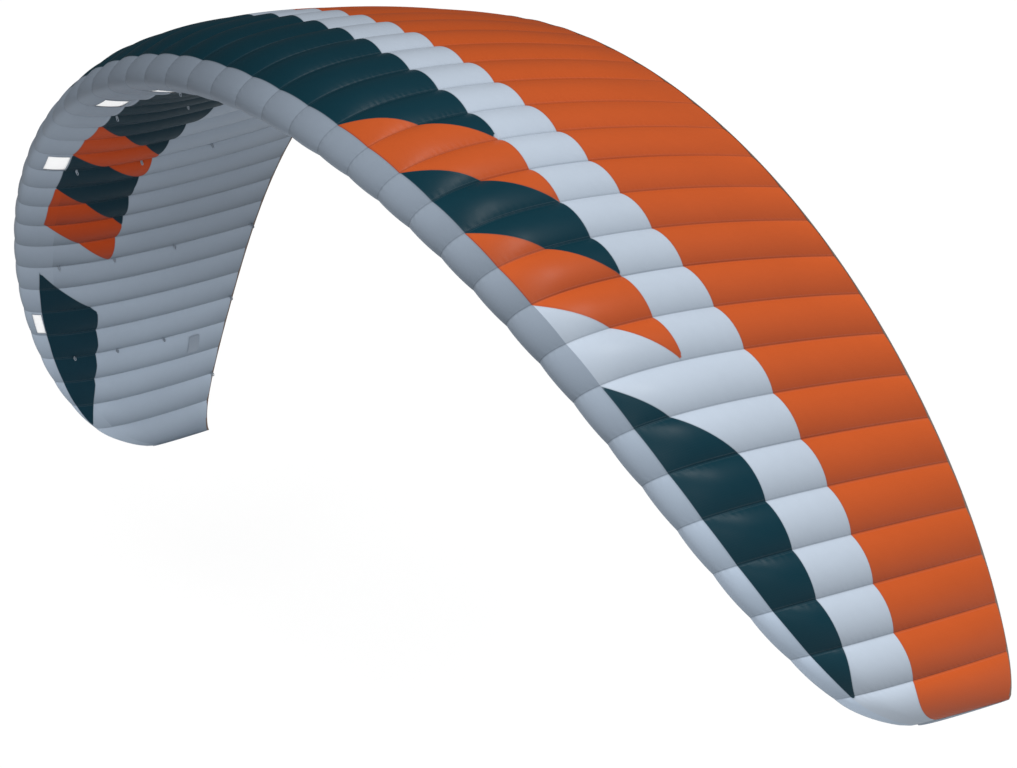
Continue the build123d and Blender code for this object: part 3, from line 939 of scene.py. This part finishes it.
@dataclass
class InnerFrame:
    """What holds the cells inside: cut ribs, nose battens and span tapes."""

    finishes: Finishes
    rib_front: float = 0.05
    rib_rear: float = 0.956
    clearance: float = 0.0028
    ports: tuple[float, ...] = (0.16, 0.32, 0.48, 0.64)
    port_width: float = 0.10
    batten_radius: float = 0.00125
    batten_ends: tuple[float, float] = (0.025, 0.10)
    batten_inset: float = 0.0052
    batten_beside: float = 0.0018
    tape_width: float = 0.020
    tape_rows: tuple[float, ...] = (0.16, 0.64)

    def outline(self, k: float) -> tuple[list[np.ndarray], float]:
        """A rib's outline and its ports in the section plane, and its area."""
        low, high = math.sqrt(self.rib_front), math.sqrt(self.rib_rear)
        s = np.linspace(low, high, 36)
        rows = []
        for sign in (1, -1):
            x, y, _, _ = FORM.profile(np.full(s.shape, k), sign * s)
            rows.append(np.stack([x, y - sign * self.clearance], -1))
        loops = [np.concatenate([rows[0], rows[1][::-1]])]
        turn = np.linspace(0, 2 * math.pi, 24, endpoint=False)
        c = float(FORM.chord(k))
        for u in self.ports:
            top, bottom = FORM.profile(np.full(2, k), np.array([1, -1]) * math.sqrt(u))[1]
            aft = u * c + 0.5 * self.port_width * c * np.cos(turn)
            up = bottom + 0.52 * (top - bottom) + 0.22 * (top - bottom) * np.sin(turn)
            loops.append(np.stack([aft, up], -1))
        crosses = [p[:, 0] * np.roll(p[:, 1], -1) - p[:, 1] * np.roll(p[:, 0], -1) for p in loops]
        sizes = [0.5 * abs(np.sum(cross)) for cross in crosses]
        return loops, sizes[0] - sum(sizes[1:])

    def add_rib(self, draft: MeshDraft, k: float) -> float:
        """Adds one flat rib with its ports cut out, and returns its area."""
        loops, area = self.outline(k)
        flat, faces = fill_outlines(loops)
        draft.add(FORM.at(np.full(len(flat), k), flat[:, 0], flat[:, 1]), faces)
        return area

    def ribs(self, name: str, stations: Sequence[float], node: str, follow: Follow) -> None:
        """A group of ribs that stand for one CAD node."""
        draft = MeshDraft()
        area = sum(self.add_rib(draft, k) for k in stations)
        made = draft.piece(name, self.finishes.inner, smooth=False)
        settle(made, follow, node)

    def battens(self, zone: Zone, stations: Sequence[float]) -> None:
        """The nylon rods sewn beside the ribs, round the nose."""
        draft = MeshDraft()
        under, over = (math.sqrt(u) for u in self.batten_ends)
        s = np.linspace(-under, over, 15)
        for k in stations:
            every = np.full(s.shape, k)
            x, y, nx, ny = FORM.profile(every, s)
            x, y = x - nx * self.batten_inset, y - ny * self.batten_inset
            draft.tube(FORM.at(every, x, y, -np.sign(k) * self.batten_beside), self.batten_radius)
        made = draft.piece(f"nose_battens_{zone.name}_rods", self.finishes.rod)
        settle(made, zone.attach, f"nose_battens_{zone.group}")

    def tapes(self, zone: Zone) -> None:
        """The tapes along the span, on the floors of the ports."""
        draft = MeshDraft()
        last = FORM.half_cells - 1
        start, end = (float(np.clip(v, -last, last)) for v in (zone.start, zone.end))
        steps = np.linspace(start, end, int((end - start) * 4) + 1)
        k, across = np.meshgrid(steps, [-0.5, 0.0, 0.5], indexing="ij")
        for u in self.tape_rows:
            place = np.full(k.shape, math.sqrt(u))
            top, bottom = FORM.profile(k, place)[1], FORM.profile(k, -place)[1]
            slack = 0.0016 * np.sin(math.pi * np.mod(k + 0.5, 1)) ** 2
            floor = bottom + 0.3 * (top - bottom) + 0.0012 + slack
            draft.grid(FORM.at(k, u * FORM.chord(k) + across * self.tape_width, floor))
        made = draft.piece(f"span_tapes_{zone.name}_webbing", self.finishes.inner)
        settle(made, zone.attach, f"span_tapes_{zone.group}")

    def build(self, zones: Sequence[Zone]) -> None:
        """Builds the ribs, battens and tapes of every stretch, and the two joint ribs."""
        for zone in zones:
            stations = zone.ribs()
            self.ribs(f"ribs_{zone.name}_cloth", stations, f"ribs_{zone.group}", zone.attach)
            self.battens(zone, stations)
            self.tapes(zone)
            log.info("inner frame of %s: ribs %s", zone.name, stations)
        for side in Side:
            body = f"bend_{side.word}"
            node = f"joint_rib_{side.word}"
            station = side.value * JOINT_RIB
            self.ribs(f"{node}_cloth", [station], node, lambda made, body=body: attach(made, body))


@dataclass
class TrailingHem:
    """The tape folded over the trailing edge, where the skins meet."""

    finishes: Finishes
    depth: float = 0.0075
    half_thickness: float = 0.0011
    across: tuple[float, ...] = (0, 0.1, 0.25, 0.4, 0.5, 0.6, 0.75, 0.9)

    def build(self, zones: Sequence[Zone]) -> None:
        """Builds the hem of every stretch."""
        for zone in zones:
            k = zone.stations(self.across)
            rows = []
            for turn in np.linspace(-1, 1, 9):
                sewn = abs(turn) > 0.9
                back = 0.0016 * math.cos(turn * math.pi / 2) - 0.0004 - self.depth * sewn
                lift = 1.3 * self.half_thickness * math.sin(turn * math.pi / 2) * (0.4 if sewn else 1)
                s = np.full(k.shape, math.sqrt(max(0.98, 1 - self.depth)) * (1 if turn > 0 else -1))
                edge = (FORM.profile(k, s)[1] + FORM.billow(k, s) * np.sign(turn)) * sewn
                rows.append(FORM.at(k, FORM.chord(k) + back, edge + lift))
            draft = MeshDraft()
            draft.grid(np.stack(rows, 1)[:, ::-1])
            made = draft.piece(f"trailing_hem_{zone.name}_tape", self.finishes.hem)
            settle(made, zone.attach, f"trailing_hem_{zone.group}")


@dataclass
class TipPanels:
    """The slim cloth panels that close the wing's two ends."""

    finishes: Finishes
    bulge: float = 0.006

    def build(self) -> None:
        """Builds both panels."""
        for side in Side:
            s, across = np.meshgrid(np.linspace(0.02, 0.997, 40), np.linspace(-1, 1, 9), indexing="ij")
            k = np.full(s.shape, side.value * FORM.half_cells)
            top, bottom = FORM.profile(k, s)[1], FORM.profile(k, -s)[1]
            height = (top + bottom) / 2 + across * (top - bottom) / 2
            out = 0.0004 + self.bulge * (1 - across**2) * np.sin(math.pi * np.clip(s, 0, 1)) ** 0.7
            points = FORM.at(k, s**2 * FORM.chord(k), height, side.value * out)
            draft = MeshDraft()
            draft.grid(points if side is Side.LEFT else points[::-1])
            node = f"tip_panel_{side.word}"
            made = draft.piece(f"{node}_cloth", self.finishes.rim)
            settle(made, lambda piece, side=side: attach(piece, f"tip_{side.word}"), node)
            log.info("%s", made.name)


@dataclass
class BridleLoops:
    """The webbing loops under the ribs, with open eyes in the front and brake rows."""

    finishes: Finishes
    width: float = 0.014
    drop: float = 0.020
    thick: float = 0.002
    eye: float = 0.004
    edge: float = 0.00035
    root_gap: float = 0.0009
    bridle_ribs: tuple[float, ...] = (1.5, 5.5, 9.5, 14.5, 18.5)
    bridle_rows: tuple[tuple[float, bool], ...] = ((0.14, True), (0.36, False), (0.62, False))
    brake_ribs: tuple[float, ...] = (14.5, 17.5, 20.5)
    brake_rows: tuple[tuple[float, bool], ...] = ((0.985, True),)

    def tab(self, draft: MeshDraft, k: float, u: float, eye: bool) -> None:
        """Adds one loop: a tab that hangs from the seam, with rounded edges."""
        edge, half = self.edge, self.width / 2
        turn = np.linspace(0, math.pi, 15)
        low = self.drop - half
        round_end = np.stack([(half - edge) * np.cos(turn), low + (half - edge) * np.sin(turn)], -1)
        outlines = [np.concatenate([[[half - edge, edge]], round_end, [[-half + edge, edge]]])]
        if eye:
            full, hole = np.linspace(0, 2 * math.pi, 24, endpoint=False), self.eye + edge
            outlines.append(np.stack([hole * np.cos(full), low + hole * np.sin(full)], -1))
        flat, faces = fill_outlines(outlines, self.thick / 2 - edge, edge)
        root = float(FORM.profile(np.array([k]), np.array([-math.sqrt(u)]))[1][0]) - self.root_gap
        aft = u * float(FORM.chord(k))
        draft.add(FORM.at(np.full(len(flat), k), aft + flat[:, 2], root - flat[:, 1], flat[:, 0]), faces)

    def build(self, zones: Sequence[Zone]) -> None:
        """Builds the loops of every stretch that has some."""
        sets = ((self.bridle_ribs, self.bridle_rows), (self.brake_ribs, self.brake_rows))
        pairs = [(rib, row) for ribs, rows in sets for rib in ribs for row in rows]
        places = [(side.value * rib, row) for side in Side for rib, row in pairs]
        for zone in zones:
            draft = MeshDraft()
            for k, (u, eye) in places:
                if zone.start < k < zone.end or (zone.name == "centre" and abs(k) == zone.end):
                    self.tab(draft, k, u, eye)
            if not draft.points:
                continue
            made = draft.piece(f"bridle_loops_{zone.name}_webbing", self.finishes.web, smooth=False)
            settle(made, zone.attach, f"bridle_loops_{zone.group}")
            log.info("loops of %s", zone.name)


@dataclass
class DeflationZip:
    """The zip under the middle of the trailing edge: its tape and coil, with the CAD slider and pull."""

    finishes: Finishes
    place: float = 0.935
    length: float = 0.240
    width: float = 0.026
    drop: float = 0.0078
    pitch: float = 0.003
    wire: float = 0.00055
    end_stop: float = 0.008

    def at(self, x: np.ndarray, rear: np.ndarray, down: np.ndarray) -> np.ndarray:
        """Points on the zip, from distances along it, towards the rear and down."""
        k = np.zeros(1)
        aft, height, _, _ = FORM.profile(k, np.array([-math.sqrt(self.place)]))
        middle = FORM.at(k, aft, height)[0]
        _, back, up, _ = (v[0] for v in FORM.axes(k))
        return middle + np.stack([x, 0 * x, 0 * x], -1) + rear[..., None] * back - down[..., None] * up

    def build(self) -> None:
        """Builds the tape with its coil, and dresses the slider and pull."""
        draft = MeshDraft()
        x, across = np.meshgrid(np.linspace(-0.5, 0.5, 49), np.linspace(-0.5, 0.5, 9), indexing="ij")
        bow = 0.0009 * np.cos(math.pi * across) + 0.0002 * np.sin(60 * x)
        for down in (0.0, 0.0006):
            grid = self.at(x * self.length, across * self.width, self.drop + down + bow)
            draft.grid(grid if down == 0 else grid[::-1])
        turn = np.linspace(0, math.pi, 7)
        turns = int((self.length - 2 * self.end_stop) / self.pitch)
        down = self.drop + 0.0012 + 0.0014 * np.sin(turn)
        for i in range(turns):
            along = -self.length / 2 + self.end_stop + self.pitch * (i + 0.5)
            path = self.at(along + 0.0007 * np.cos(turn), 0.0024 * np.cos(turn), down)
            draft.tube(path, self.wire, 6)
        made = draft.piece("zip_tape_and_coil", self.finishes.zip)
        settle(made, lambda piece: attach(piece, "centre_wing"), "zip_tape")
        for node in ("zip_slider", "zip_pull"):
            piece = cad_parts[node]
            piece.data.materials.clear()
            piece.data.materials.append(self.finishes.moulded)
        log.info("zip with %d coil turns", turns)


@dataclass
class DrainFlaps:
    """The flaps over the sand slits near the tips."""

    finishes: Finishes
    cell: int = 19
    place: float = 0.80
    width: float = 0.084
    length: float = 0.056
    corner: float = 0.008
    lift: float = 0.0022
    seam_height: float = 0.0006
    seam_from_edge: float = 0.004
    seam_width: float = 0.0016

    def outline(self) -> tuple[np.ndarray, np.ndarray, np.ndarray]:
        """A flap's points with rounded corners, along the span and aft of its middle, and their heights."""
        w, h, r = self.width / 2, self.length / 2, self.corner
        x, y = np.meshgrid(np.linspace(-w, w, 25), np.linspace(-h, h, 17), indexing="ij")
        past_x, past_y = np.clip(np.abs(x) - (w - r), 0, r), np.clip(np.abs(y) - (h - r), 0, r)
        far = np.maximum(np.hypot(past_x, past_y), 1e-9)
        shrink = np.minimum(1, np.maximum(past_x, past_y) / far)
        x = np.sign(x) * (np.abs(x) - past_x + past_x * shrink)
        y = np.sign(y) * (np.abs(y) - past_y + past_y * shrink)
        from_seam = np.minimum(w - np.abs(x), h - np.abs(y)) - self.seam_from_edge
        return x, y, self.lift + self.seam_height * np.exp(-(from_seam**2) / self.seam_width**2)

    def build(self) -> None:
        """Builds both flaps, lying on the inflated lower skin, with their front edges sewn to it."""
        x, y, lift = self.outline()
        for side in Side:
            k = side.value * self.cell + x / FORM.cell
            base = FORM.surface(k, -np.sqrt(self.place + y / FORM.chord(k)))
            draft = MeshDraft()
            draft.grid((base - FORM.axes(k)[2] * lift[..., None])[:, ::-1])
            node = f"drain_flap_{side.word}"
            made = draft.piece(f"{node}_cloth", self.finishes.flap)
            bodies = f"tip_{side.word}", f"drain_{side.word}"
            sewn, free = (tuple(base[len(base) // 2, i]) for i in (0, 3))
            settle(made, lambda piece, b=bodies, s=sewn, e=free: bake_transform(piece), node)
            log.info("%s", made.name)


@dataclass(frozen=True)
class Sun:
    """A soft distant light: where it shines from, its strength, and how wide it looks in degrees."""

    name: str
    direction: tuple[float, float, float]
    strength: float
    width: float

    def build(self) -> None:
        """Adds the light."""
        data = bpy.data.lights.new(self.name, "SUN")
        data.energy, data.angle = self.strength, math.radians(self.width)
        made = bpy.data.objects.new(self.name, data)
        made.rotation_euler = Vector(self.direction).to_track_quat("Z", "Y").to_euler()
        bpy.context.scene.collection.objects.link(made)


@dataclass
class Studio:
    """The pale floor, the soft lights, and the camera."""

    suns: tuple[Sun, ...] = (
        Sun("key", (0.55, -0.05, 0.83), 3.3, 8),
        Sun("fill", (0.85, -0.45, 0.28), 1.0, 20),
    )
    surround: float = 0.10
    floor_tones: tuple[float, float] = (0.955, 0.965)
    floor_drop: float = 2.4
    floor_radius: float = 420.0
    azimuth: float = math.radians(52.337)
    elevation: float = math.radians(11.418)
    roll: float = math.radians(-0.636)
    lens: float = 73.16
    shift: float = -0.012
    distance_cells: float = 60.498
    target_cells: tuple[float, float, float] = (-3.542, 13.339, -9.446)

    def floor(self) -> None:
        """A wide pale floor below the kite."""
        low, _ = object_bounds()
        material = bpy.data.materials.new("pale_floor")
        material.use_nodes = True
        ns = NodeSketch(material.node_tree)
        shader = material.node_tree.nodes["Principled BSDF"]
        place = ns.node("ShaderNodeTexCoord").outputs["Object"]
        low_tone, high_tone = ((tone, tone, tone) for tone in self.floor_tones)
        ns.feed(shader.inputs["Base Color"], ns.mix(ns.noise(place, 0.4), low_tone, high_tone))
        shader.inputs["Roughness"].default_value = 1.0
        shader.inputs["Specular IOR Level"].default_value = 0.0
        turn = np.linspace(0, 2 * math.pi, 96, endpoint=False)
        ring = np.stack([np.cos(turn), np.sin(turn), 0 * turn], -1) * self.floor_radius
        draft = MeshDraft()
        draft.add(ring + np.array([0, 0, low.z - self.floor_drop]), [range(96)])
        draft.piece("floor", material, smooth=False)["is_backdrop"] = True

    def lights(self) -> None:
        """A white surround that lights little, a soft key from above and a weak fill from the front."""
        world = bpy.data.worlds.new("studio")
        bpy.context.scene.world = world
        world.use_nodes = True
        background = world.node_tree.nodes["Background"]
        background.inputs["Color"].default_value = (1.0, 1.0, 1.0, 1.0)
        ns = NodeSketch(world.node_tree)
        seen = ns.node("ShaderNodeLightPath").outputs["Is Camera Ray"]
        ns.feed(background.inputs["Strength"], ns.plus(ns.times(seen, 1 - self.surround), self.surround))
        for sun in self.suns:
            sun.build()
        bpy.context.scene.view_settings.view_transform = "Standard"

    def camera(self) -> None:
        """The camera at its place, with a small roll and shift."""
        a, e, r = self.azimuth, self.elevation, self.roll
        back = Vector((math.sin(a) * math.cos(e), -math.cos(a) * math.cos(e), math.sin(e)))
        right = Vector((math.cos(a), math.sin(a), 0))
        up = back.cross(right)
        turned, above = math.cos(r) * right + math.sin(r) * up, -math.sin(r) * right + math.cos(r) * up
        target = Vector(self.target_cells) * FORM.cell - Vector(FORM.origin)
        data = bpy.data.cameras.new("camera")
        data.lens, data.sensor_width, data.shift_x = self.lens, 36.0, self.shift
        data.clip_start, data.clip_end = 0.05, 2000
        made = bpy.data.objects.new("camera", data)
        turn = Matrix((turned, above, back)).transposed().to_4x4()
        made.matrix_world = Matrix.Translation(target + back * self.distance_cells * FORM.cell) @ turn
        bpy.context.scene.collection.objects.link(made)
        bpy.context.scene.camera = made

    def build(self) -> None:
        """Builds the stage."""
        self.floor()
        self.lights()
        self.camera()
        log.info("studio")


def main() -> None:
    """Builds the kite's looks around the frame, in order."""
    logging.basicConfig(level=logging.INFO, format="%(name)s: %(message)s")
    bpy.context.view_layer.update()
    zones = make_zones()
    finishes = Finishes()
    SewnSkins(finishes).build(zones)
    IntakeFlaps(finishes).build()
    InnerFrame(finishes).build(zones)
    TrailingHem(finishes).build(zones)
    TipPanels(finishes).build()
    BridleLoops(finishes).build(zones)
    DeflationZip(finishes).build()
    DrainFlaps(finishes).build()
    Studio().build()


if __name__ == "__main__":
    main()
